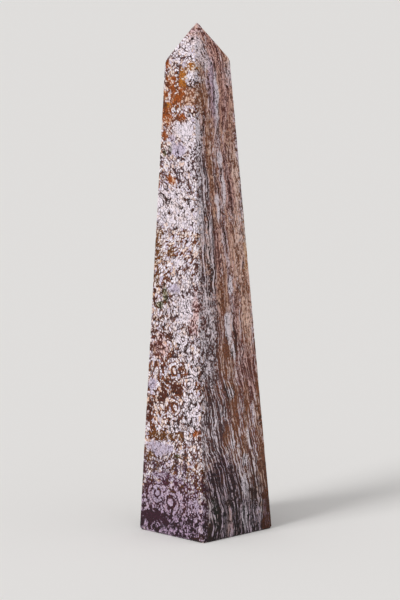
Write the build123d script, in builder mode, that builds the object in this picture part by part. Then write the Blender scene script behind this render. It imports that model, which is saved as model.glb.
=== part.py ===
"""Polished stone obelisk: a table ornament cut from a single block of banded orbicular jasper.

The block is sawn and ground to two pairs of tapering sides, then to a four-sided point, and its
edges are eased before polishing. The origin is the centre of the foot, +Z is up, and every size
is in millimetres. The side that follows the bedding, with its grains, looks along -Y, and the
side that cuts across the layers, with its bands, looks along +X.
"""

import os

from build123d import *

# The two outlines that the sides are ground to.
foot_width = 55.0  # along X, just above the eased edge under the foot
foot_depth = 55.0  # along Y, just above the eased edge under the foot
shoulder_width = 24.5  # along X, where the shaft ends and the point begins
shoulder_depth = 28.7  # along Y: the shaft is ground by hand and isn't square here
total_height = 300.0
point_height = 21.6  # rise of the four-sided point above the shoulder
tip_flat = 1.0  # across the worn tip

# The eased edges.
arris_ease = 0.3  # along the corners of the shaft and the point, and round the shoulder
foot_ease = 0.9  # round the resting face, where a sharp edge would chip

shoulder_height = total_height - point_height


def side_outline(foot, shoulder):
    """One pair of sides as seen square-on: the foot, the taper, the shoulder and the point."""
    with BuildSketch() as outline:
        with BuildLine():
            Polyline(
                (-foot / 2 + foot_ease, 0),
                (foot / 2 - foot_ease, 0),
                (foot / 2, foot_ease),
                (shoulder / 2, shoulder_height),
                (tip_flat / 2, total_height),
                (-tip_flat / 2, total_height),
                (-shoulder / 2, shoulder_height),
                (-foot / 2, foot_ease),
                close=True,
            )
        make_face()
    return outline.sketch


with BuildPart() as obelisk:
    # The first pair of sides is ground right through the block, and then the second pair.
    with BuildSketch(Plane.XZ):
        add(side_outline(foot_width, shoulder_width))
    extrude(amount=foot_depth, both=True)
    with BuildSketch(Plane.YZ):
        add(side_outline(foot_depth, shoulder_depth))
    extrude(amount=foot_width, both=True, mode=Mode.INTERSECT)

    # Every other edge is eased by hand, except round the tip, which is worn flat already.
    eased = obelisk.edges().filter_by(lambda edge: edge.center().Z > foot_ease)
    chamfer(eased - eased.group_by(Axis.Z)[-1], length=arris_ease)

obelisk.part.label = "obelisk"

os.makedirs("parts", exist_ok=True)
export_step(obelisk.part, "parts/obelisk.step")
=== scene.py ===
"""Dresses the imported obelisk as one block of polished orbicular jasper, in a plain pale studio.

The file is laid out as a Blender add-on and is run as a script. Everything is in metres, in the
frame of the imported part: the foot's centre is the origin and +Z is up. The pattern of the stone
is worked out in millimetres.
"""

import math
from types import SimpleNamespace
import bmesh
import bpy
from bpy.props import FloatProperty, FloatVectorProperty, PointerProperty
from mathutils import Matrix, Vector, noise


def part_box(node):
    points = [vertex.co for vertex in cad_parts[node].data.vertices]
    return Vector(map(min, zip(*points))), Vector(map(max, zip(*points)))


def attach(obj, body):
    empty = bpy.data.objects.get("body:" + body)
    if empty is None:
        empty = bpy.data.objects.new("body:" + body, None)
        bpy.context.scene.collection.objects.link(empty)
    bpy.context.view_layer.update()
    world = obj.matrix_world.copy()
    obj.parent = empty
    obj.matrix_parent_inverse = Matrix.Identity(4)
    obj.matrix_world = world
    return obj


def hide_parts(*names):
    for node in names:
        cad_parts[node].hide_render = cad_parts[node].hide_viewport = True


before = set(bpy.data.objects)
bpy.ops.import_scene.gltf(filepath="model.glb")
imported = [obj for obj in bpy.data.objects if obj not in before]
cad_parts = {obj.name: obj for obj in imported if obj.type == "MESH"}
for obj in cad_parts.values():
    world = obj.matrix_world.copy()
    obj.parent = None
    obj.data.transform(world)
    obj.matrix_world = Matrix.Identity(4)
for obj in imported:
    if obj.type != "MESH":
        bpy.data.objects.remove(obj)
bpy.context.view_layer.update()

bl_info = {
    "name": "Jasper Obelisk",
    "version": (1, 0, 0),
    "blender": (4, 5, 0),
    "location": "View3D > Sidebar > Obelisk",
    "description": "Cuts and polishes a banded jasper obelisk and sets it in a studio",
    "category": "Object",
}

MM = 0.001
NODE = "obelisk"
LOW, HIGH = (Vector(corner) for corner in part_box(NODE))
FOOT_WIDTH, FOOT_DEPTH, HEIGHT = HIGH - LOW


def linear(hex_colour):
    """An sRGB colour such as "c8b49a" as linear red, green and blue."""
    channels = [int(hex_colour[i : i + 2], 16) / 255 for i in (0, 2, 4)]
    return [c / 12.92 if c <= 0.04045 else ((c + 0.055) / 1.055) ** 2.4 for c in channels]


def length(name, description, default):
    """A size in metres that shows in the panel."""
    return FloatProperty(
        name=name, description=description, default=default, unit="LENGTH", precision=5
    )


def colour(name, description, hex_colour):
    """A colour that shows in the panel as a swatch."""
    return FloatVectorProperty(
        name=name, description=description, default=linear(hex_colour), subtype="COLOR",
        min=0, max=1,
    )


class StoneSettings(bpy.types.PropertyGroup):
    """The cut of the stone."""

    shoulder_width: length("Shoulder width", "Across the shaft's top, along X", 24.5 * MM)
    shoulder_depth: length("Shoulder depth", "Across the shaft's top, along Y", 28.7 * MM)
    point_height: length("Point height", "Rise of the point above the shoulder", 21.6 * MM)
    tip_flat: length("Tip flat", "Across the worn tip", 1.1 * MM)
    foot_ease: length("Foot ease", "Cut off all round under the foot", 0.9 * MM)
    arris_round: length("Arris round", "Width of the rounding along every edge", 0.4 * MM)
    cell: length("Cell", "Height of one ring of the surface's own faces", 1.2 * MM)
    lap_wave: length("Lap wave", "How far hand lapping dishes a side", 0.08 * MM)
    arris_wear: length("Arris wear", "How far handling wears edges and point", 0.25 * MM)
    chip: length("Chip", "How deep the worst knock on a corner goes", 0.7 * MM)


class JasperSettings(bpy.types.PropertyGroup):
    """The colours of the stone's minerals: grounds, then the grains that lie in them."""

    rust: colour("Rust", "Iron-stained ground", "9c4a0a")
    amber: colour("Amber", "Brighter iron-stained ground", "b06c24")
    russet: colour("Russet", "Dark iron-stained ground", "4c1c0c")
    ochre: colour("Ochre", "Yellow-brown ground", "6a3e10")
    olive: colour("Olive", "Green-brown ground", "2c3014")
    mauve: colour("Mauve", "Purple-black ground at the foot", "2c0e20")
    wine: colour("Wine", "Purple-red ground above the foot", "4c1a34")
    smoke: colour("Smoke", "Grey-brown ground", "28140f")
    dusk: colour("Dusk", "Mauve-grey ground", "4a3438")
    tan: colour("Tan", "Peach ground", "8e5a42")
    umber: colour("Umber", "Warm brown bands with few grains", "7e4a2e")
    maroon: colour("Maroon", "Dark red ground", "5c2c28")
    apricot: colour("Apricot", "Iron-stained grains", "d09a64")
    straw: colour("Straw", "Yellow-stained grains", "e0cca8")
    moss: colour("Moss", "Green-stained grains", "8c8a5c")
    peach: colour("Peach", "Peach grains", "ecc6b2")
    sand: colour("Sand", "Brown-stained grains", "d0a890")
    rose: colour("Rose", "Dull pink grains", "d6a298")
    white: colour("White", "Chalcedony grains", "f6e8f2")
    lilac: colour("Lilac", "Grains with a violet cast", "ccaccd")
    lavender: colour("Lavender", "Smooth violet-grey chalcedony", "c2b2ca")
    frost: colour("Frost", "Smooth bluish-white chalcedony", "eee2ec")


class PatternSettings(bpy.types.PropertyGroup):
    """The sizes of the stone's sheets and grains."""

    sheet: length("Sheet", "Thickness of the thinnest sheets", 1.4 * MM)
    layer: length("Layer", "Thickness of the bands of colour", 3.2 * MM)
    rib_gap: length("Rib gap", "From one pale rib to the next", 2.5 * MM)
    grain: length("Grain", "Height of a round grain", 2.1 * MM)
    dash: length("Dash", "Height of a long grain in the bands", 2.7 * MM)
    seed: length("Seed", "Width of the small grains that lie anywhere", 0.9 * MM)
    clump: length("Clump", "Half the width of a clump of grains", 4.6 * MM)
    vein_gap: length("Vein gap", "From one ochre vein to the next", 15.0 * MM)
    relief: length("Relief", "How far the ground lies below the grains", 0.03 * MM)


class StageSettings(bpy.types.PropertyGroup):
    """The floor, the camera's lens and the light from all round."""

    floor: colour("Floor", "Matt paint of the floor", "f0eeec")
    lens: FloatProperty(
        name="Lens", description="Focal length of the camera", default=377.3, unit="CAMERA"
    )
    glow: FloatProperty(
        name="Glow", description="Strength of the soft light from all round", default=0.4
    )


def add(tree, kind, inputs=(), out=0, stops=(), **settings):
    """Adds one node and gives back one of its outputs.

    inputs fills the node's sockets, in order or by name or number, with values or other outputs. On
    a MapRange, numbers 1 and 2 are the range read, and 3 and 4 the range given. stops are the
    places along a colour band and the sRGB shades there.
    """
    node = tree.nodes.new("ShaderNode" + kind)
    for name, value in settings.items():
        setattr(node, name, value)
    for index, (spot, shade) in enumerate(stops):
        band = node.color_ramp.elements
        stop = band[index] if index < 2 else band.new(spot)
        stop.position = spot
        stop.color = (*linear(shade), 1)
    for key, value in inputs.items() if isinstance(inputs, dict) else enumerate(inputs):
        if isinstance(value, bpy.types.NodeSocket):
            tree.links.new(value, node.inputs[key])
        elif value is not None:
            node.inputs[key].default_value = value
    return node.outputs[out] if node.outputs else None


# Where the camera stands, in degrees from -Y towards +X, and how far its picture leans. It stands
# far off, so that the sides hardly converge, and aims a hair to the left of the axis.
CAMERA_AZIMUTH = 47.44
CAMERA_ROLL = -1.014
CAMERA_DISTANCE = 12.0 * HEIGHT
CAMERA_UP = 2.774 * HEIGHT
AIM_UP = 0.456 * HEIGHT
AIM_LEFT = 1.0 * MM
SENSOR_WIDTH = 36.0
CLIP_END = 100.0

FLOOR_RADIUS = 20 * HEIGHT

# The lamps: name, azimuth and elevation, how wide the light spreads in degrees, and strength.
SUNS = (("key", -2, 38, 22, 1.55), ("top", 60, 75, 60, 0.5))

# --- the stone's pattern, in millimetres ---

# The ways the four sides face. The beds run across Y, so the sides that face along X show them as
# bands. The near corner is the one between the grained side and the banded one.
SIDES = {"grained": (0, -1), "banded": (1, 0), "back": (0, 1), "far": (-1, 0)}

# Gentle folds, a crumple and a fray: the spacing of each, and how far it reaches along X, Y and Z.
FOLDS = ((42.0, (8.0, 9.0, 8.0)), (7.0, (4.0, 2.8, 4.0)), (1.9, (1.2, 0.6, 1.4)))

# The beds lean towards the grained side as they rise, by this share of the height. Going down
# between the two heights of BENT they also bend towards the back, by BEND in all.
LEAN = 0.05
BEND = 11.0
BENT = (20.0, 105.0)

# The heights at which the lower half, the foot and the point begin and are fully there.
LOWER = (150.0, 90.0)
FOOT = (62.0, 10.0)
POINT = (273.0, 283.0)

# The crust on the grained side and the thinner one at the back: where each fades, along Y at the
# foot. Above CRUST_DIP the first grows thicker.
CRUST = (-26.0, -22.0)
BACK_CRUST = (24.0, 27.0)
CRUST_DIP = 280.0

# A lens of round grains inside the near corner, and a place above it where pale ribs always show.
LENS = ("banded", -15, 125, 8, 38)
RIBBED = ("banded", -12, 172, 7, 50)

# The spacing of the unevenness: a mottle within the grains, then small and large blotches.
MOTTLE, DUST, CLOUD = 0.8, 1.7, 4.0

# The shape of a round grain, a long one and a small one: their sizes along X, across the beds and
# upwards, as shares of the size that is set. Above the heights of TURNED the round and the small
# ones lean over, by TURN radians about the height TURN_ABOUT.
ROUND = (0.76, 0.52, 1.0)
LONG = (0.63, 0.23, 1.0)
SMALL = (1.0, 1.0, 1.33)
TURNED = (150.0, 200.0)
TURN = 0.7
TURN_ABOUT = 205.0

# The middle height of the clumps of grains and of the ochre veins, and how far from it they fade
# out and are still whole.
CLUMPED = (94.0, 40.0, 22.0)
VEINED = (36.0, 18.0, 8.0)

# How far in a mineral's patch goes, from a side that cuts across the beds and from one that lies
# along them.
DEEP_PATCH = 26.0
THIN_PATCH = 7.0

# Each mineral: its ground, the colour its grains lean to and how far, how much denser it makes the
# grains, how ragged its rims are, and its patches as (side, across, up, half width, half height).
MINERALS = (
    ("dusk", "lilac", 0.35, -0.04, 0.8, (
        ("grained", -8, 41, 20, 8),
    )),
    ("dusk", "white", 0.4, 0.0, 0.8, (
        ("grained", -2, 286, 14, 8),
    )),
    ("dusk", "lilac", 0.6, -0.04, 0.7, (
        ("banded", -2, 262, 3.5, 18),
        ("far", -13, 200, 4, 40),
    )),
    ("dusk", "frost", 0.8, -0.03, 0.8, (
        ("banded", -14, 212, 4, 32),
        ("banded", -15, 66, 11, 20),
        ("banded", -16, 125, 9, 38),
        ("back", 12, 210, 6, 24),
    )),
    ("tan", "peach", 0.8, 0.1, 0.8, (
        ("grained", 9, 258.5, 5.5, 5),
        ("banded", 14.5, 212, 3, 20),
        ("banded", 12, 166, 4, 24),
        ("banded", 17, 135, 3.6, 34),
        ("far", 9, 180, 4, 60),
        ("back", -8, 150, 14, 40),
    )),
    ("smoke", "frost", 0.5, -0.1, 0.8, (
        ("banded", -9.5, 172, 3.5, 20),
        ("far", -14, 90, 7, 60),
    )),
    ("mauve", "lilac", 0.45, -0.17, 0.7, (
        ("banded", -9, 28, 15, 20),
        ("banded", 0, 6, 25, 20),
        ("far", 0, 6, 25, 18),
    )),
    ("maroon", "rose", 0.7, 0.02, 0.9, (
        ("banded", 3.5, 284, 3.6, 14),
        ("banded", -4, 298, 6, 7),
        ("banded", 8, 260, 4.5, 21),
        ("banded", 6, 214, 2.5, 22),
        ("banded", 10, 203, 2.4, 14),
        ("banded", -5, 170, 2.5, 16),
        ("banded", 9, 128, 1.8, 14),
        ("banded", 14, 95, 8, 18),
        ("grained", 17.5, 134, 3, 13),
        ("grained", 15, 127, 5, 5),
        ("grained", -13, 110, 7, 8),
        ("far", -7, 225, 3, 28),
        ("back", 9, 70, 12, 18),
    )),
    ("tan", "peach", 0.8, 0.12, 0.8, (
        ("banded", 14, 282, 5, 10),
    )),
    ("umber", "sand", 0.6, -0.24, 0.45, (
        ("banded", -11.5, 259, 5, 9),
        ("banded", -6, 228, 2.8, 24),
        ("banded", -1, 143, 3.4, 12),
        ("banded", -2, 104, 6.2, 12),
        ("banded", 1.0, 80, 3.8, 12),
        ("banded", 3.0, 64, 2.9, 10),
        ("banded", -4, 60, 2.6, 7),
        ("banded", 12, 76, 2.6, 15),
        ("banded", 9.5, 52, 2.4, 9),
        ("banded", 22.5, 58, 3, 44),
        ("far", 2, 95, 4, 40),
    )),
    ("rust", "apricot", 0.75, -0.27, 1.0, (
        ("grained", 1.8, 263, 2.6, 9),
        ("grained", -10.5, 277, 2.6, 2.4),
        ("grained", -9, 253.5, 5, 3.2),
        ("grained", -1.5, 258, 4.6, 3.6),
        ("grained", -8, 267, 3.8, 4),
        ("grained", -10, 250, 5, 8),
        ("grained", -12.5, 259, 4, 5.5),
        ("grained", -6, 244.5, 5, 4.5),
        ("grained", -5, 240, 5, 4.5),
        ("grained", 4, 247, 3.4, 2.8),
        ("grained", -10.5, 235, 3.4, 2.4),
        ("grained", -16, 206, 1.8, 6),
        ("grained", -3.4, 208.5, 3.6, 2.6),
        ("grained", 19.5, 63.5, 3.4, 2.2),
        ("back", 5, 236, 6, 10),
        ("back", -14, 60, 6, 6),
    )),
    ("amber", "straw", 0.5, -0.1, 0.9, (
        ("grained", 2.8, 270, 2.8, 6.5),
        ("grained", 8, 276, 4.5, 2.8),
        ("grained", -9, 254, 3.4, 1.8),
        ("grained", 1, 37.5, 2.2, 1.8),
        ("grained", 24.5, 3, 4, 3.5),
        ("banded", 18, 172, 1.6, 16),
        ("back", 4, 230, 3, 5),
    )),
    ("russet", "apricot", 0.35, -0.12, 0.9, (
        ("grained", -11.5, 266, 3.6, 3),
        ("grained", -12, 255, 2.2, 4),
        ("grained", -8, 197, 5, 1.8),
        ("grained", -21, 74, 2.6, 6.5),
        ("grained", -9.5, 81, 4.4, 4.4),
        ("grained", 2.5, 89, 5.5, 3.4),
        ("grained", 6, 94, 2.6, 2.6),
        ("grained", -18, 140, 2, 2.6),
        ("grained", -18.5, 121, 3, 2.2),
        ("banded", -6, 187, 1.8, 6),
        ("banded", 17, 23, 5, 2.6),
        ("banded", -8, 10, 2.2, 12),
        ("back", -10, 95, 5, 5),
    )),
    ("ochre", "straw", 0.25, -0.16, 0.8, (
        ("grained", -15, 176, 4, 5.5),
        ("grained", -15.5, 164, 3.6, 9),
        ("grained", -16, 149, 3, 3),
        ("grained", -4.2, 167, 2.8, 3.6),
        ("grained", -9, 60.4, 13.5, 2.2),
        ("grained", 3.5, 59.5, 3.8, 2.4),
        ("grained", 19, 35, 2.4, 2.8),
        ("grained", -20, 47, 3, 1.8),
        ("far", 15, 40, 4, 16),
    )),
    ("olive", "moss", 0.8, -0.14, 0.7, (
        ("grained", -8, 141.5, 2.8, 4.6),
        ("grained", -13, 135.5, 3, 2.6),
        ("grained", -5, 227, 1.3, 1.8),
        ("grained", -10.5, 223, 1.6, 1.8),
        ("grained", 3.5, 48.5, 3.2, 1.4),
        ("back", 10, 150, 4, 6),
    )),
    ("olive", "frost", 0.3, -0.2, 0.9, (
        ("banded", -18.5, 17, 2.2, 9),
    )),
    ("wine", "lilac", 0.8, 0.02, 0.8, (
        ("grained", 0, 16, 40, 21),
        ("back", 0, 14, 40, 22),
    )),
    ("mauve", "lilac", 0.9, -0.08, 0.6, (
        ("grained", 0, 4, 40, 10),
    )),
    ("wine", "lavender", 0.6, 0.14, 0.8, (
        ("grained", -13.5, 22.5, 4.5, 6),
        ("grained", 22, 24, 4, 6),
        ("grained", -6, 35, 15, 3),
    )),
    ("wine", "lilac", 0.8, -0.42, 0.8, (
        ("grained", -15, 8.8, 14, 3.6),
    )),
    ("tan", "sand", 0.8, -0.35, 0.5, (
        ("banded", 25.5, 35, 4, 17),
    )),
    ("rust", "maroon", 0.85, -0.4, 0.6, (
        ("banded", 25.5, 9, 4.5, 18),
    )),
    ("smoke", "white", 0.7, 0.16, 0.8, (
        ("banded", -5.5, 284, 4.5, 12),
        ("grained", 9.5, 269, 4, 5),
        ("grained", 9.5, 238, 5, 10),
        ("grained", 0, 192, 22, 12),
        ("grained", 1, 161.5, 6, 2.6),
        ("grained", 9, 135, 6, 8),
        ("grained", 7, 117, 6.5, 6),
        ("grained", 16, 98, 5, 12),
        ("grained", 15.5, 77, 7.5, 11),
        ("grained", 0, 66, 7, 3.4),
        ("back", 2, 270, 14, 9),
        ("back", -5, 221, 9, 11),
        ("back", 6, 178, 12, 13),
        ("back", -12, 112, 8, 12),
        ("back", 14, 62, 8, 13),
    )),
    ("mauve", "lavender", 0.85, 0.34, 0.3, (
        ("grained", 1, 227, 6, 4.2),
        ("grained", -4, 234.5, 3, 3),
        ("grained", 0.5, 146, 5, 3),
        ("grained", -18, 88, 4, 3.6),
        ("grained", -13, 52.4, 11.5, 4.2),
        ("back", -7, 198, 6, 14),
        ("back", 12, 100, 7, 9),
    )),
    ("smoke", "frost", 0.85, 0.4, 0.35, (
        ("banded", 1, 259, 1.4, 14),
        ("banded", -14.5, 240, 1.8, 6),
        ("banded", 3, 221, 2.2, 5),
        ("banded", 4.2, 204, 1.4, 10),
        ("banded", -2.4, 198.4, 2.4, 3),
        ("banded", -2.2, 190, 1.4, 6),
        ("banded", 5, 148, 1.8, 5),
        ("banded", 1.8, 123, 2.6, 10),
        ("banded", 4, 109, 2.2, 6),
        ("banded", -1, 84, 2.4, 3.6),
        ("banded", 1, 57, 1.3, 6),
        ("banded", 9.5, 44, 2.4, 4),
        ("banded", 7.5, 29, 3.4, 6.5),
        ("banded", 6, 10, 3.4, 9),
        ("far", -2, 155, 2.2, 24),
        ("far", -10, 52, 2.8, 16),
    )),
)

# Orbs, given like the patches.
ORBS = (
    ("grained", 0.5, 77.5, 5.5, 5.5),
    ("grained", -1.2, 19.4, 8.5, 8.5),
    ("grained", -13.0, 22.5, 6.0, 6.5),
    ("grained", 0.0, 98.0, 6.5, 6.0),
    ("grained", 6.0, 119.0, 3.6, 3.6),
    ("grained", 13.0, 92.5, 4.5, 4.5),
    ("banded", 18.5, 13.5, 4.5, 5.0),
    ("back", -4.0, 124.0, 6.5, 7.0),
    ("back", 10.0, 30.0, 8.0, 8.0),
    ("back", -12.0, 84.0, 5.0, 5.0),
)


def nearest(stone, spots):
    """How far a point of the stone is from the nearest patch: 0 at its heart, 1 at its rim.

    A patch is an egg of mineral with its heart on the face of its side.
    """
    tree, cut = stone.tree, stone.cut
    shoulder = HEIGHT - cut.point_height
    best = None
    for side, across, up, half_width, half_height in spots:
        x, y = SIDES[side]
        foot, top = (FOOT_WIDTH, cut.shoulder_width) if x else (FOOT_DEPTH, cut.shoulder_depth)
        reach = (foot + (top - foot) * up * MM / shoulder) / 2 / MM
        heart = (x * reach, across, up) if x else (across, y * reach, up)
        size = (DEEP_PATCH, half_width, half_height) if x else (half_width, THIN_PATCH, half_height)
        gap = add(tree, "VectorMath", (stone.folded, heart), operation="SUBTRACT")
        gap = add(tree, "VectorMath", (gap, size), operation="DIVIDE")
        far = add(tree, "VectorMath", (gap,), operation="LENGTH", out="Value")
        best = far if best is None else add(tree, "Math", (best, far), operation="MINIMUM")
    return best


def lay_beds(stone):
    """Finds where a point lies, where the folds take it, and where that is across the beds."""
    tree = stone.tree
    metres = add(tree, "TexCoord", out="Object")
    stone.place = add(tree, "VectorMath", {0: metres, "Scale": 1 / MM}, operation="SCALE")
    folded = stone.place
    for spacing, reach in FOLDS:
        stir = add(
            tree, "TexNoise", {"Vector": stone.place, "Scale": 1 / spacing, "Detail": 1.0},
            out="Color",
        )
        stir = add(tree, "VectorMath", (stir, (0.5, 0.5, 0.5)), operation="SUBTRACT")
        folded = add(tree, "VectorMath", (stir, reach, folded), operation="MULTIPLY_ADD")
    stone.folded = folded
    x, y, up = add(tree, "SeparateXYZ", (folded,)).node.outputs
    stone.y, stone.up = y, up

    bend = add(
        tree, "MapRange", {"Value": up, 1: BENT[0], 2: BENT[1], 3: 0.0, 4: BEND},
        interpolation_type="SMOOTHSTEP",
    )
    depth = add(tree, "Math", (up, LEAN, y), operation="MULTIPLY_ADD")
    stone.depth = add(tree, "Math", (depth, bend), operation="ADD")
    stone.bed = add(tree, "CombineXYZ", (x, stone.depth, up))

    # The lower half, the foot and the point have ways of their own, from 0 to 1.
    stone.lower, stone.foot, stone.point = (
        add(
            tree, "MapRange", {"Value": up, 1: begins, 2: full, 3: 0.0, 4: 1.0},
            interpolation_type="SMOOTHSTEP",
        )
        for begins, full in (LOWER, FOOT, POINT)
    )


def grow_crusts(stone):
    """Finds the crust on the grained side, and all the stone with round grains, from 0 to 1."""
    tree, cut = stone.tree, stone.cut
    taper = (FOOT_DEPTH - cut.shoulder_depth) / 2 / (HEIGHT - cut.point_height)

    # The crust keeps its thickness as the side leans in, and grows thicker inside the point.
    inside = add(tree, "Math", (stone.up, -taper, stone.y), operation="MULTIPLY_ADD")
    dip = add(tree, "Math", (stone.up, CRUST_DIP), operation="SUBTRACT")
    dip = add(tree, "Math", (dip, 0.0), operation="MAXIMUM")
    inside = add(tree, "Math", (dip, -0.6, inside), operation="MULTIPLY_ADD")
    stone.crust = add(
        tree, "MapRange", {"Value": inside, 1: CRUST[0], 2: CRUST[1], 3: 1.0, 4: 0.0},
        interpolation_type="SMOOTHSTEP",
    )
    stone.deep = add(tree, "Math", (1.0, stone.crust), operation="SUBTRACT")

    # The back's crust is mixed with the bands, and so is the lens.
    back = add(tree, "Math", (stone.up, taper, stone.y), operation="MULTIPLY_ADD")
    back = add(
        tree, "MapRange", {"Value": back, 1: BACK_CRUST[0], 2: BACK_CRUST[1], 3: 0.0, 4: 0.75},
        interpolation_type="SMOOTHSTEP",
    )
    lens = nearest(stone, (LENS,))
    lens = add(tree, "MapRange", {"Value": lens, 1: 0.7, 2: 1.2, 3: 0.8, 4: 0.0})
    round_grained = add(tree, "Math", (stone.crust, back), operation="MAXIMUM")
    stone.round_grained = add(tree, "Math", (round_grained, lens), operation="MAXIMUM")


def stir_up(stone):
    """Makes the unevenness: sheets and layers along the beds, a mottle, and two sizes of blotch."""
    tree = stone.tree

    # Thin sheets pinch out after 8 to 13 mm, and the layers that they lie in after 25 to 60 mm.
    thin = add(tree, "VectorMath", (stone.bed, (8.0, stone.sheet, 13.0)), operation="DIVIDE")
    stone.thin = add(
        tree, "TexNoise", {"Vector": thin, "Scale": 1.0, "Detail": 2.0, "Roughness": 0.6}
    )
    thick = add(tree, "VectorMath", (stone.bed, (25.0, stone.layer, 60.0)), operation="DIVIDE")
    stone.thick = add(tree, "TexNoise", {"Vector": thick, "Scale": 1.0, "Detail": 2.0})

    stone.mottle, stone.dust, stone.cloud = (
        add(
            tree, "TexNoise",
            {"Vector": where, "Scale": 1 / spacing, "Detail": detail, "Roughness": 0.6},
        )
        for where, spacing, detail in (
            (stone.place, MOTTLE, 2.0), (stone.folded, DUST, 2.0), (stone.folded, CLOUD, 3.0),
        )
    )


def scatter_grains(stone):
    """Scatters round grains for the crust, long ones for the bands, and small ones everywhere.

    The real stone has grains of every size down to a tenth of a millimetre. The smallest here are
    0.9 mm across, because finer ones would not show.
    """
    tree = stone.tree
    turn = add(
        tree, "MapRange", {"Value": stone.up, 1: TURNED[0], 2: TURNED[1], 3: 0.0, 4: TURN},
        interpolation_type="SMOOTHSTEP",
    )
    leaning = add(
        tree, "VectorRotate", {"Vector": stone.bed, "Center": (0, 0, TURN_ABOUT), "Angle": turn},
        rotation_type="Y_AXIS",
    )
    kinds = [
        add(tree, "VectorMath", (where, [size * share for share in shape]), operation="DIVIDE")
        for where, size, shape in (
            (leaning, stone.grain, ROUND), (stone.bed, stone.dash, LONG),
            (leaning, stone.seed, SMALL),
        )
    ]
    cells, dashes, seeds = (
        add(tree, "TexVoronoi", {"Vector": kind, "Scale": 1.0}).node.outputs for kind in kinds
    )
    stone.seam = add(
        tree, "TexVoronoi", {"Vector": kinds[0], "Scale": 1.0}, feature="DISTANCE_TO_EDGE"
    )

    # How far a point is from the heart of its big grain and of its small one, and three random
    # numbers that each grain keeps to itself.
    stone.far = add(
        tree, "Mix", {0: stone.round_grained, 2: dashes["Distance"], 3: cells["Distance"]},
        data_type="FLOAT",
    )
    stone.far_small = seeds["Distance"]
    draw = add(
        tree, "Mix", {0: stone.round_grained, 6: dashes["Color"], 7: cells["Color"]},
        data_type="RGBA", out=2,
    )
    stone.chance = add(tree, "SeparateColor", (draw,)).node.outputs
    stone.luck = add(tree, "SeparateColor", (seeds["Color"],)).node.outputs


def colour_ground(stone):
    """Colours the ground: bands of brown inside, and a mixed red-brown in the crust."""
    tree = stone.tree
    stripes = add(tree, "Math", (stone.thin, 0.45), operation="MULTIPLY")
    stripes = add(tree, "Math", (stone.thick, 0.55, stripes), operation="MULTIPLY_ADD")
    banded = add(
        tree, "ValToRGB", (stripes,),
        stops=(
            (0.36, "2c1210"), (0.42, "58301f"), (0.47, "7a4e48"), (0.51, "74402a"),
            (0.56, "845244"), (0.64, "3a1c18"),
        ),
    )
    blend = add(tree, "Math", (stone.luck[1], 0.3, stone.dust), operation="MULTIPLY_ADD")
    blend = add(
        tree, "ValToRGB", (blend,),
        stops=(
            (0.45, "280e09"), (0.57, "5a280f"), (0.68, "84441a"), (0.76, "4c2a1a"),
            (0.86, "7a3f20"),
        ),
    )
    stone.ground = add(
        tree, "Mix", {0: stone.round_grained, 6: banded, 7: blend}, data_type="RGBA", out=2
    )


def colour_grains(stone):
    """Colours the grains: cool white in the crust, pink by layers inside, and greyer lower down."""
    tree = stone.tree
    pure = add(
        tree, "ValToRGB", (stone.chance[1],),
        stops=(
            (0.0, "c8bcd2"), (0.25, "f4ecf8"), (0.6, "f8eef4"), (0.84, "f2dcd2"), (1.0, "dcb49c"),
        ),
    )
    warm = add(tree, "Math", (stone.thick, 1.8, -0.58), operation="MULTIPLY_ADD")
    warm = add(tree, "Math", (stone.chance[1], 0.35, warm), operation="MULTIPLY_ADD")
    warm = add(
        tree, "ValToRGB", (warm,),
        stops=(
            (0.15, "c0a4ac"), (0.35, "f0dee4"), (0.5, "d4a69a"), (0.65, "e0bcaa"), (0.85, "c4907c"),
        ),
    )
    cool = add(
        tree, "ValToRGB", (stone.chance[1],),
        stops=(
            (0.0, "bcaabc"), (0.3, "f4e8f0"), (0.6, "e2ced0"), (0.8, "bc9a88"), (1.0, "faf0f6"),
        ),
    )
    tint = add(tree, "Mix", {0: stone.lower, 6: warm, 7: cool}, data_type="RGBA", out=2)
    stone.tint = add(tree, "Mix", {0: stone.crust, 6: tint, 7: pure}, data_type="RGBA", out=2)


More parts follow.
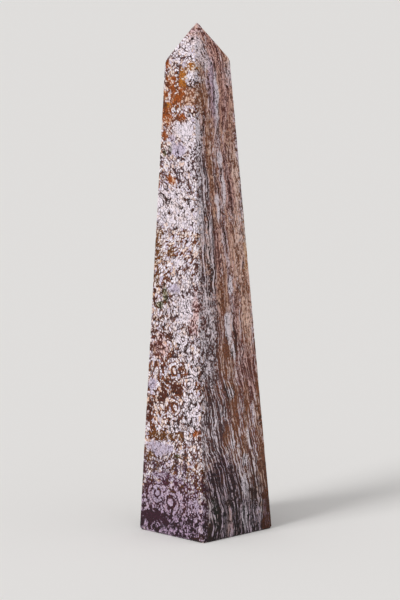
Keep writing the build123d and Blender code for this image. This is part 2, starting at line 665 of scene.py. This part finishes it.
def crowd_grains(stone):
    """Finds how dense the grains lie, and where pale ribs follow the beds in the bands."""
    tree = stone.tree

    # Lower down and beside the near corner, grains crowd near a rib and leave gaps between ribs.
    ribbed = nearest(stone, (RIBBED,))
    ribbed = add(tree, "MapRange", {"Value": ribbed, 1: 0.7, 2: 1.1, 3: 0.9, 4: 0.0})
    leaner = add(tree, "Math", (stone.lower, ribbed), operation="MAXIMUM")
    rib = add(tree, "Math", (stone.thick, 12.0, stone.depth), operation="MULTIPLY_ADD")
    rib = add(tree, "Math", (rib, stone.rib_gap / 2), operation="PINGPONG")
    between = add(tree, "MapRange", {"Value": rib, 1: 0.2, 2: 1.0, 3: 0.18, 4: -0.28})
    rib = add(tree, "MapRange", {"Value": rib, 1: 0.18, 2: 0.42, 3: 1.0, 4: 0.0})
    part = add(tree, "MapRange", {"Value": stone.cloud, 1: 0.42, 2: 0.54, 3: 0.0, 4: 1.0})
    part = add(tree, "Math", (part, ribbed), operation="MAXIMUM")
    rib = add(tree, "Math", (rib, part), operation="MULTIPLY")
    stone.rib = add(tree, "Math", (rib, stone.deep), operation="MULTIPLY")

    # In the bands the grains crowd by sheets and layers.
    contrast = add(tree, "Math", (stone.lower, 1.4), operation="ADD")
    inner = add(tree, "Math", (stone.thin, 0.5), operation="SUBTRACT")
    inner = add(tree, "Math", (inner, contrast, 0.11), operation="MULTIPLY_ADD")
    inner = add(tree, "Math", (leaner, between, inner), operation="MULTIPLY_ADD")
    inner = add(tree, "Math", (stone.thick, 0.5, inner), operation="MULTIPLY_ADD")
    inner = add(tree, "Math", (stone.lower, -0.1, inner), operation="MULTIPLY_ADD")

    # In the crust they crowd by blotches, a little less so lower down, and by clumps.
    middle, fades, whole = CLUMPED
    clumped = add(tree, "Math", (stone.up, middle), operation="SUBTRACT")
    clumped = add(tree, "Math", (clumped,), operation="ABSOLUTE")
    clumped = add(
        tree, "MapRange", {"Value": clumped, 1: fades, 2: whole, 3: 0.2, 4: 1.15},
        interpolation_type="SMOOTHSTEP",
    )
    clumps = add(
        tree, "TexNoise", {"Vector": stone.folded, "Scale": 1 / stone.clump, "Detail": 1.0}
    )
    clumps = add(tree, "Math", (clumps, 0.53), operation="SUBTRACT")
    outer = add(tree, "Math", (stone.cloud, 1.5, -0.25), operation="MULTIPLY_ADD")
    outer = add(tree, "Math", (stone.lower, -0.07, outer), operation="MULTIPLY_ADD")
    outer = add(tree, "Math", (clumps, clumped, outer), operation="MULTIPLY_ADD")
    dense = add(tree, "Mix", {0: stone.round_grained, 2: inner, 3: outer}, data_type="FLOAT")

    # Fewer lie in the foot, and all are a little uneven.
    fewer = add(tree, "Math", (stone.deep, -0.13, -0.02), operation="MULTIPLY_ADD")
    dense = add(tree, "Math", (stone.foot, fewer, dense), operation="MULTIPLY_ADD")
    uneven = add(tree, "Math", (stone.dust, 0.6, -0.3), operation="MULTIPLY_ADD")
    stone.dense = add(tree, "Math", (dense, uneven), operation="ADD")


def stain(stone):
    """Lays the minerals' patches, each over the ones before it."""
    tree = stone.tree

    # The blotches fray a patch's rim, and let the ground before it show through in places.
    fray = add(tree, "Math", (stone.cloud, 2.6, -1.9), operation="MULTIPLY_ADD")
    fray = add(tree, "Math", (stone.dust, 1.2, fray), operation="MULTIPLY_ADD")
    patchy = add(tree, "MapRange", {"Value": stone.dust, 1: 0.36, 2: 0.52, 3: 0.35, 4: 1.0})
    for ground, grains, share, more, ragged, spots in MINERALS:
        here = nearest(stone, spots)
        here = add(tree, "Math", (fray, ragged, here), operation="MULTIPLY_ADD")
        here = add(
            tree, "MapRange", {"Value": here, 1: 1.3, 2: 0.7, 3: 0.0, 4: 0.92},
            interpolation_type="SMOOTHSTEP",
        )
        broken = add(tree, "Math", (here, patchy), operation="MULTIPLY")
        stone.ground = add(
            tree, "Mix", {0: broken, 6: stone.ground, 7: stone.shades[ground]},
            data_type="RGBA", out=2,
        )
        some = add(tree, "Math", (here, share), operation="MULTIPLY")
        stone.tint = add(
            tree, "Mix", {0: some, 6: stone.tint, 7: stone.shades[grains]}, data_type="RGBA", out=2
        )
        stone.dense = add(tree, "Math", (here, more, stone.dense), operation="MULTIPLY_ADD")


def run_veins(stone):
    """Runs broken ochre veins through the crust above the foot."""
    tree = stone.tree
    vein = add(
        tree, "TexVoronoi", {"Vector": stone.folded, "Scale": 1 / stone.vein_gap},
        feature="DISTANCE_TO_EDGE",
    )
    vein = add(tree, "MapRange", {"Value": vein, 1: 0.02, 2: 0.055, 3: 1.0, 4: 0.0})
    middle, fades, whole = VEINED
    near = add(tree, "Math", (stone.up, middle), operation="SUBTRACT")
    near = add(tree, "Math", (near,), operation="ABSOLUTE")
    near = add(tree, "MapRange", {"Value": near, 1: fades, 2: whole, 3: 0.0, 4: 1.0})
    gaps = add(tree, "MapRange", {"Value": stone.cloud, 1: 0.42, 2: 0.54, 3: 0.1, 4: 1.0})
    for where in (near, stone.crust, gaps):
        vein = add(tree, "Math", (vein, where), operation="MULTIPLY")
    stone.ground = add(
        tree, "Mix", {0: vein, 6: stone.ground, 7: stone.shades["ochre"]}, data_type="RGBA", out=2
    )
    stone.dense = add(tree, "Math", (vein, -0.25, stone.dense), operation="MULTIPLY_ADD")


def ring_orbs(stone):
    """Draws the orbs, as greys for how dense the stone is from heart to rim.

    An orb has a white heart, a broken dark ring, a pale ring, a thin dark rim and a fainter ring
    outside.
    """
    tree = stone.tree
    rings = add(tree, "Math", (nearest(stone, ORBS), 0.5), operation="MULTIPLY")
    rings = add(
        tree, "ValToRGB", (rings,),
        stops=(
            (0.0, "d8d8d8"), (0.14, "d8d8d8"), (0.18, "5a5a5a"), (0.25, "606060"),
            (0.29, "cccccc"), (0.43, "cccccc"), (0.47, "686868"), (0.53, "c8c8c8"),
            (0.68, "cccccc"), (0.75, "8c8c8c"), (0.85, "bcbcbc"),
        ),
    )
    rings = add(tree, "Math", (rings, 0.5), operation="SUBTRACT")
    stone.dense = add(tree, "Math", (rings, 1.4, stone.dense), operation="MULTIPLY_ADD")


def fill_grains(stone):
    """Fills the grains: the denser the stone is, the more of its cell a grain takes."""
    tree = stone.tree
    pale = stone.rib
    joint = add(tree, "MapRange", {"Value": stone.seam, 1: 0.02, 2: 0.15, 3: 0.85, 4: 0.0})
    joint = add(tree, "Math", (joint, stone.round_grained), operation="MULTIPLY")
    fade = add(tree, "Math", (stone.point, -0.6, 1.0), operation="MULTIPLY_ADD")
    joint = add(tree, "Math", (joint, fade), operation="MULTIPLY")
    joined = add(tree, "Math", (1.0, joint), operation="SUBTRACT")

    # Big grains with a dark seam between round neighbours, then small ones: each has its own growth
    # and clearness, and a rim that is a little soft.
    soft = 0.12
    for far, growth, gain, loss, clearness, faintest, seam in (
        (stone.far, stone.chance[0], 0.3, -0.15, stone.chance[2], 0.86, joined),
        (stone.far_small, stone.luck[0], 0.6, -0.38, stone.luck[1], 0.5, None),
    ):
        own = add(tree, "Math", (growth, gain, loss), operation="MULTIPLY_ADD")
        reach = add(tree, "Math", (stone.dense, own), operation="ADD")
        low = add(tree, "Math", (reach, soft), operation="SUBTRACT")
        high = add(tree, "Math", (reach, soft), operation="ADD")
        full = add(
            tree, "MapRange", {"Value": far, 1: low, 2: high, 3: 1.0, 4: 0.0},
            interpolation_type="SMOOTHSTEP",
        )
        clear = add(tree, "MapRange", {"Value": clearness, 3: faintest, 4: 1.0})
        full = add(tree, "Math", (full, clear), operation="MULTIPLY")
        if seam:
            full = add(tree, "Math", (full, seam), operation="MULTIPLY")
        pale = add(tree, "Math", (pale, full), operation="MAXIMUM")

    # Specks of ore darken one small grain in four, and nearly half of them in the point, where the
    # big grains run together.
    speck = add(
        tree, "MapRange", {"Value": stone.far_small, 1: 0.25, 2: 0.5, 3: 1.0, 4: 0.0},
        interpolation_type="SMOOTHSTEP",
    )
    odds = add(tree, "Math", (stone.point, -0.2, 0.76), operation="MULTIPLY_ADD")
    rare = add(tree, "Math", (stone.luck[2], odds), operation="GREATER_THAN")
    stone.speck = add(tree, "Math", (speck, rare), operation="MULTIPLY")
    free = add(tree, "Math", (stone.speck, -0.85, 1.0), operation="MULTIPLY_ADD")
    stone.pale = add(tree, "Math", (pale, free), operation="MULTIPLY")


def mix_colour(stone):
    """Puts ground and grains together: mottled, and darker at the foot, partly as painted shade."""
    tree = stone.tree

    # Each has the mottle's low and high values with the factors that they stand for, and how much
    # it darkens towards the foot, as the stone's own darker foot and painted shade together: in the
    # bands alone, and everywhere.
    mixed = []
    for shade, (dark, light), (inside, all_round) in (
        (stone.ground, ((0.32, 0.33), (0.68, 1.5)), (-0.28, -0.5)),
        (stone.tint, ((0.3, 0.88), (0.6, 1.15)), (-0.06, -0.22)),
    ):
        mottled = add(
            tree, "MapRange",
            {"Value": stone.mottle, 1: dark[0], 2: light[0], 3: dark[1], 4: light[1]},
        )
        shade = add(tree, "VectorMath", {0: shade, "Scale": mottled}, operation="SCALE")
        # Painted shade over the stone's own darker foot: the colour is darkened towards the foot as
        # if the light fell off there.
        foot_tone_and_painted_shade = add(tree, "Math", (stone.deep, inside, all_round), operation="MULTIPLY_ADD")
        foot_tone_and_painted_shade = add(tree, "Math", (stone.foot, foot_tone_and_painted_shade, 1.0), operation="MULTIPLY_ADD")
        mixed.append(add(tree, "VectorMath", {0: shade, "Scale": foot_tone_and_painted_shade}, operation="SCALE"))
    ground, tint = mixed
    return add(tree, "Mix", {0: stone.pale, 6: ground, 7: tint}, data_type="RGBA", out=2)


def polished_jasper(looks, sizes, cut):
    """Orbicular jasper, sawn, lapped and polished.

    White and pink grains of quartz lie in a red-brown ground that iron has stained. The eye sees a
    crust of round grains on one side and fine bands on the next, under one even, glassy polish.
    """
    material = bpy.data.materials.new("polished orbicular jasper")
    material.use_nodes = True
    tree = material.node_tree
    tree.nodes.clear()
    shades = {key: (*getattr(looks, key), 1.0) for key in JasperSettings.__annotations__}
    pattern = {key: getattr(sizes, key) / MM for key in PatternSettings.__annotations__}

    # Each step keeps what it finds about the stone here, for the steps after it.
    stone = SimpleNamespace(tree=tree, cut=cut, shades=shades, **pattern)
    for step in (
        lay_beds, grow_crusts, stir_up, scatter_grains, colour_ground, colour_grains, crowd_grains,
        stain, run_veins, ring_orbs, fill_grains,
    ):
        step(stone)

    # Quartz grains take a brighter polish than the softer ground, which lies a few hundredths of a
    # millimetre lower and is pitted where ore has plucked out.
    gloss = add(tree, "MapRange", {"Value": stone.pale, 1: 0.0, 2: 0.8, 3: 0.24, 4: 0.13})
    gloss = add(tree, "Math", (stone.speck, 0.2, gloss), operation="MULTIPLY_ADD")
    height = add(tree, "Math", (stone.speck, -0.8, stone.pale), operation="MULTIPLY_ADD")
    bumps = add(
        tree, "Bump", {"Height": height, "Strength": 0.5, "Distance": stone.relief * MM}
    )

    # The IOR is that of quartz. Its level is held down, so that the pale studio does not show over
    # the dark ground.
    surface = add(
        tree, "BsdfPrincipled",
        {
            "Base Color": mix_colour(stone), "Roughness": gloss, "Normal": bumps,
            "IOR": 1.54, "Specular IOR Level": 0.2,
        },
    )
    add(tree, "OutputMaterial", (surface,))
    return material


# --- the cut, in metres ---

# Knocks on the corners of the shoulder and the foot: the way to the corner along X and Y, and how
# far the knock reaches from it.
SHOULDER_KNOCKS = ((-1, -1, 2.2 * MM), (1, -1, 1.2 * MM), (1, 1, 1.5 * MM), (-1, 1, 1.8 * MM))
FOOT_KNOCKS = ((-1, -1, 1.6 * MM), (1, -1, 2.0 * MM), (1, 1, 1.4 * MM), (-1, 1, 2.4 * MM))

# The spacing of the dishing of a side, of the wear along an edge and of the nicks in it, and where
# in its pattern the wear is read, so that it does not follow the dishing.
DISH, WEAR, NICK = 24.0, 6.0, 1.7
WEAR_FROM = Vector((3, 5, 7))

# A side faces X or Y more nearly than this, as a cosine. The rounded edges and the point do not.
SQUARE_ON = 0.985

WELD = 0.01 * MM


def raise_to(mesh, face, up, width, depth):
    """Extrudes a level face to this height, size and all, and gives back the new top face."""
    old = face.calc_center_median().z
    was_wide = max(v.co.x for v in face.verts)
    was_deep = max(v.co.y for v in face.verts)
    grown = bmesh.ops.extrude_face_region(mesh, geom=[face])["geom"]
    bmesh.ops.delete(mesh, geom=[face], context="FACES_ONLY")
    ring = [part for part in grown if isinstance(part, bmesh.types.BMVert)]
    bmesh.ops.translate(mesh, verts=ring, vec=(0, 0, up - old))
    bmesh.ops.scale(mesh, verts=ring, vec=(width / 2 / was_wide, depth / 2 / was_deep, 1))
    return next(part for part in grown if isinstance(part, bmesh.types.BMFace))


def saw_block(cut):
    """Saws the block with its eased foot, tapering shaft and point, and rounds every edge over."""
    mesh = bmesh.new()
    bmesh.ops.create_grid(mesh, x_segments=1, y_segments=1, size=0.5)
    sole = (FOOT_WIDTH - 2 * cut.foot_ease, FOOT_DEPTH - 2 * cut.foot_ease, 1)
    bmesh.ops.scale(mesh, verts=mesh.verts, vec=sole)
    bottom = mesh.faces[:]
    top = bmesh.ops.duplicate(mesh, geom=bottom)["geom"]
    top = next(part for part in top if isinstance(part, bmesh.types.BMFace))
    bmesh.ops.reverse_faces(mesh, faces=bottom)
    top = raise_to(mesh, top, cut.foot_ease, FOOT_WIDTH, FOOT_DEPTH)
    top = raise_to(mesh, top, HEIGHT - cut.point_height, cut.shoulder_width, cut.shoulder_depth)
    raise_to(mesh, top, HEIGHT, cut.tip_flat, cut.tip_flat)
    bmesh.ops.remove_doubles(mesh, verts=mesh.verts, dist=WELD)
    bmesh.ops.bevel(
        mesh, geom=mesh.edges[:], offset=cut.arris_round, offset_type="OFFSET",
        affect="EDGES", segments=3, profile=0.5, material=-1, clamp_overlap=True,
    )
    return mesh


def slices(low, high, step):
    """Evenly spaced places strictly between two ends, no further apart than step."""
    count = math.ceil((high - low) / step)
    return [low + (high - low) * i / count for i in range(1, count)]


def add_loops(mesh, cut):
    """Adds level rings, and upright loops that lean with the sides, for the wear to work on."""
    shoulder = HEIGHT - cut.point_height
    planes = [((0, 0, up), (0, 0, 1)) for up in slices(cut.foot_ease, HEIGHT, cut.cell)]
    for axis, foot, top in (
        (0, FOOT_WIDTH, cut.shoulder_width), (1, FOOT_DEPTH, cut.shoulder_depth),
    ):
        apex = Vector((0, 0, shoulder * foot / (foot - top)))
        for across in slices(-foot / 2, foot / 2, 2 * cut.cell):
            lean = Vector((0, 0, across))
            lean[axis] = apex.z
            planes.append((apex, lean.normalized()))
    for point, normal in planes:
        everything = [*mesh.verts, *mesh.edges, *mesh.faces]
        bmesh.ops.bisect_plane(mesh, geom=everything, dist=WELD, plane_co=point, plane_no=normal)


def wear_down(mesh, cut):
    """Dishes the sides as hand lapping does, and wears the edges, the point and the corners."""
    shoulder = HEIGHT - cut.point_height
    corners = [
        (Vector((x * width / 2, y * depth / 2, up)), size)
        for width, depth, up, knocks in (
            (cut.shoulder_width, cut.shoulder_depth, shoulder, SHOULDER_KNOCKS),
            (FOOT_WIDTH, FOOT_DEPTH, 0, FOOT_KNOCKS),
        )
        for x, y, size in knocks
    ]
    mesh.normal_update()
    push = []
    for vert in mesh.verts:
        at = vert.co / MM
        give = cut.lap_wave * (0.5 + 0.5 * noise.noise(at / DISH))
        if max(abs(part) for part in vert.normal) < SQUARE_ON:
            worn = noise.noise(at / WEAR + WEAR_FROM) + 0.5 * noise.noise(at / NICK)
            give += cut.arris_wear * max(0.0, worn)
        for corner, size in corners:
            near = max(0.0, 1 - (vert.co - corner).length / size)
            give += cut.chip * near * near
        push.append(-give * vert.normal)
    for vert, step in zip(mesh.verts, push):
        if vert.co.z > cut.foot_ease / 2:
            vert.co += step


class OBELISK_OT_stone(bpy.types.Operator):
    """Cut the stone: foot, tapering shaft, shoulder and point, then lap it and wear its edges"""

    bl_idname = "obelisk.stone"
    bl_label = "Cut Stone"

    def execute(self, context):
        scene = context.scene
        cut = scene.obelisk_stone
        mesh = saw_block(cut)
        add_loops(mesh, cut)
        wear_down(mesh, cut)
        data = bpy.data.meshes.new("polished_stone")
        mesh.to_mesh(data)
        mesh.free()
        data.shade_smooth()
        stone = bpy.data.objects.new("polished_stone", data)
        scene.collection.objects.link(stone)

        # The broad sides count for more than the narrow faces of the roundings.
        even = stone.modifiers.new("even shading", "WEIGHTED_NORMAL")
        even.weight = 60

        data.materials.append(polished_jasper(scene.obelisk_jasper, scene.obelisk_pattern, cut))
        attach(stone, "root")
        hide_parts(NODE)
        return {"FINISHED"}


# --- the stage ---


def towards(azimuth, elevation=0.0):
    """The way out to a lamp or the camera, turned from -Y towards +X and raised, in degrees."""
    turn, rise = math.radians(azimuth), math.radians(elevation)
    return Vector((
        math.sin(turn) * math.cos(rise), -math.cos(turn) * math.cos(rise), math.sin(rise),
    ))


class OBELISK_OT_stage(bpy.types.Operator):
    """Lay the pale floor, and place the camera and the lamps"""

    bl_idname = "obelisk.stage"
    bl_label = "Set Stage"

    def execute(self, context):
        scene, stage = context.scene, context.scene.obelisk_stage

        mesh = bmesh.new()
        bmesh.ops.create_circle(mesh, cap_ends=True, segments=96, radius=FLOOR_RADIUS)
        data = bpy.data.meshes.new("floor")
        mesh.to_mesh(data)
        mesh.free()
        floor = bpy.data.objects.new("floor", data)
        scene.collection.objects.link(floor)

        # Matt white wall paint: a soft, even pale grey with hardly any shine.
        paint = bpy.data.materials.new("matt white studio floor")
        paint.use_nodes = True
        bsdf = paint.node_tree.nodes["Principled BSDF"]
        bsdf.inputs["Base Color"].default_value = (*stage.floor, 1)
        bsdf.inputs["Roughness"].default_value = 0.9
        bsdf.inputs["Specular IOR Level"].default_value = 0.1
        data.materials.append(paint)

        back = towards(CAMERA_AZIMUTH)
        right = Vector((0, 0, 1)).cross(back)
        eye = CAMERA_DISTANCE * back + Vector((0, 0, CAMERA_UP))
        target = Vector((0, 0, AIM_UP)) - AIM_LEFT * right
        lens = bpy.data.cameras.new("camera")
        lens.lens = stage.lens
        lens.sensor_width = SENSOR_WIDTH
        lens.clip_end = CLIP_END
        camera = bpy.data.objects.new("camera", lens)
        turn = (target - eye).to_track_quat("-Z", "Y").to_matrix().to_4x4()
        roll = Matrix.Rotation(math.radians(CAMERA_ROLL), 4, "Z")
        camera.matrix_world = Matrix.Translation(eye) @ turn @ roll
        scene.collection.objects.link(camera)
        scene.camera = camera

        for name, azimuth, elevation, spread, strength in SUNS:
            light = bpy.data.lights.new(name, "SUN")
            light.angle = math.radians(spread)
            light.energy = strength
            lamp = bpy.data.objects.new(name, light)
            way = towards(azimuth, elevation)
            lamp.matrix_world = way.to_track_quat("Z", "Y").to_matrix().to_4x4()
            scene.collection.objects.link(lamp)

        world = bpy.data.worlds.new("studio")
        world.use_nodes = True
        glow = world.node_tree.nodes["Background"]
        glow.inputs["Color"].default_value = (1, 1, 1, 1)
        glow.inputs["Strength"].default_value = stage.glow
        scene.world = world
        scene.view_settings.view_transform = "Standard"
        return {"FINISHED"}


class OBELISK_PT_panel(bpy.types.Panel):
    """The obelisk's own tab in the sidebar"""

    bl_idname = "OBELISK_PT_panel"
    bl_label = "Jasper Obelisk"
    bl_space_type = "VIEW_3D"
    bl_region_type = "UI"
    bl_category = "Obelisk"

    def draw(self, context):
        for operator in OPERATORS:
            self.layout.operator(operator.bl_idname)
        for name, kind in SETTINGS.items():
            box = self.layout.box()
            for key in kind.__annotations__:
                box.prop(getattr(context.scene, name), key)


OPERATORS = (OBELISK_OT_stone, OBELISK_OT_stage)
SETTINGS = {
    "obelisk_stone": StoneSettings,
    "obelisk_jasper": JasperSettings,
    "obelisk_pattern": PatternSettings,
    "obelisk_stage": StageSettings,
}
CLASSES = (*SETTINGS.values(), *OPERATORS, OBELISK_PT_panel)


def register():
    for kind in CLASSES:
        bpy.utils.register_class(kind)
    for name, kind in SETTINGS.items():
        setattr(bpy.types.Scene, name, PointerProperty(type=kind))


def unregister():
    for name in SETTINGS:
        delattr(bpy.types.Scene, name)
    for kind in reversed(CLASSES):
        bpy.utils.unregister_class(kind)


def main():
    """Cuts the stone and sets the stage."""
    register()
    bpy.ops.obelisk.stone()
    bpy.ops.obelisk.stage()


if __name__ == "__main__":
    main()
